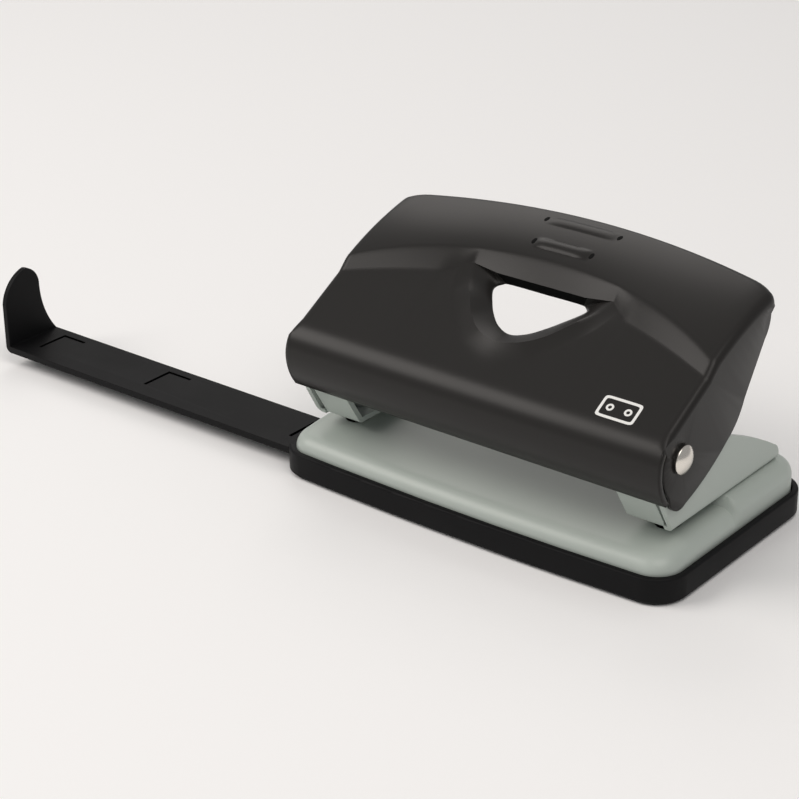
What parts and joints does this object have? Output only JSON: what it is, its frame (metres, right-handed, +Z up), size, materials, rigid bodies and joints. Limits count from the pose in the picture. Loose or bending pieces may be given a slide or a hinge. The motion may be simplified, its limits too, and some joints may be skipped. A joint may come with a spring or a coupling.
{
  "type": "two-hole paper punch",
  "caption": "Compact metal paper punch: sprung black handle over a grey pressed base, with a chip tray below and a sliding side guide with an end stop.",
  "frame": {"origin": "on the table, under the middle of the tray's flat underside", "axes": "+X along the row of holes, away from the pull-out guide; +Y to the back, away from the side where sheets enter; +Z up"},
  "size_m": [0.1901, 0.0573, 0.0559],
  "materials": {
    "handle_paint": "satin black stoving enamel on steel sheet",
    "body_paint": "satin grey-green stoving enamel on steel sheet",
    "black_plastic": "fine-grained black moulded plastic",
    "nickel": "nickel-plated steel",
    "pin_steel": "ground hardened steel",
    "spring_steel": "oiled spring steel",
    "zinc": "zinc-plated steel"
  },
  "bodies": {
    "base": {"base_plate": "body_paint", "die_plate_left": "zinc", "die_plate_right": "zinc", "bracket_left": "body_paint", "bracket_right": "body_paint", "upper_guide_left": "zinc", "upper_guide_right": "zinc", "bracket_rivets_left": "nickel", "bracket_rivets_right": "nickel", "pivot_rivet_left": "nickel", "pivot_rivet_right": "nickel", "pivot_washer_left": "zinc", "pivot_washer_right": "zinc", "return_spring_left": "spring_steel", "return_spring_right": "spring_steel"},
    "handle": {"handle": "handle_paint"},
    "pin_left": {"punch_pin_left": "pin_steel", "spring_washer_left": "zinc", "retaining_clip_left": "spring_steel"},
    "pin_right": {"punch_pin_right": "pin_steel", "spring_washer_right": "zinc", "retaining_clip_right": "spring_steel"},
    "tray": {"chip_tray": "black_plastic"},
    "guide": {"guide_bar": "black_plastic"}
  },
  "joints": [
    {"name": "handle_press", "type": "hinge", "parent": "base", "child": "handle", "pos_m": [0, -0.0191, 0.029], "axis": [-1, 0, 0], "range_deg": [0, 26], "stiffness_Nm_per_rad": 0.18, "springref_deg": -34.38},
    {"name": "pin_left_travel", "type": "slide", "parent": "base", "child": "pin_left", "axis": [0, 0, -1], "range_m": [0, 0.004], "deforming": ["return_spring_left"]},
    {"name": "pin_right_travel", "type": "slide", "parent": "base", "child": "pin_right", "axis": [0, 0, -1], "range_m": [0, 0.004], "deforming": ["return_spring_right"]},
    {"name": "tray_open", "type": "hinge", "parent": "base", "child": "tray", "pos_m": [0, 0.0269, 0.0059], "axis": [1, 0, 0], "range_deg": [0, 65]},
    {"name": "guide_slide", "type": "slide", "parent": "tray", "child": "guide", "axis": [1, 0, 0], "range_m": [0, 0.087]}
  ],
  "couplings": [
    {"joint": "pin_left_travel", "follows": "handle_press", "m_per_rad": 0.00876},
    {"joint": "pin_right_travel", "follows": "handle_press", "m_per_rad": 0.00876}
  ]
}
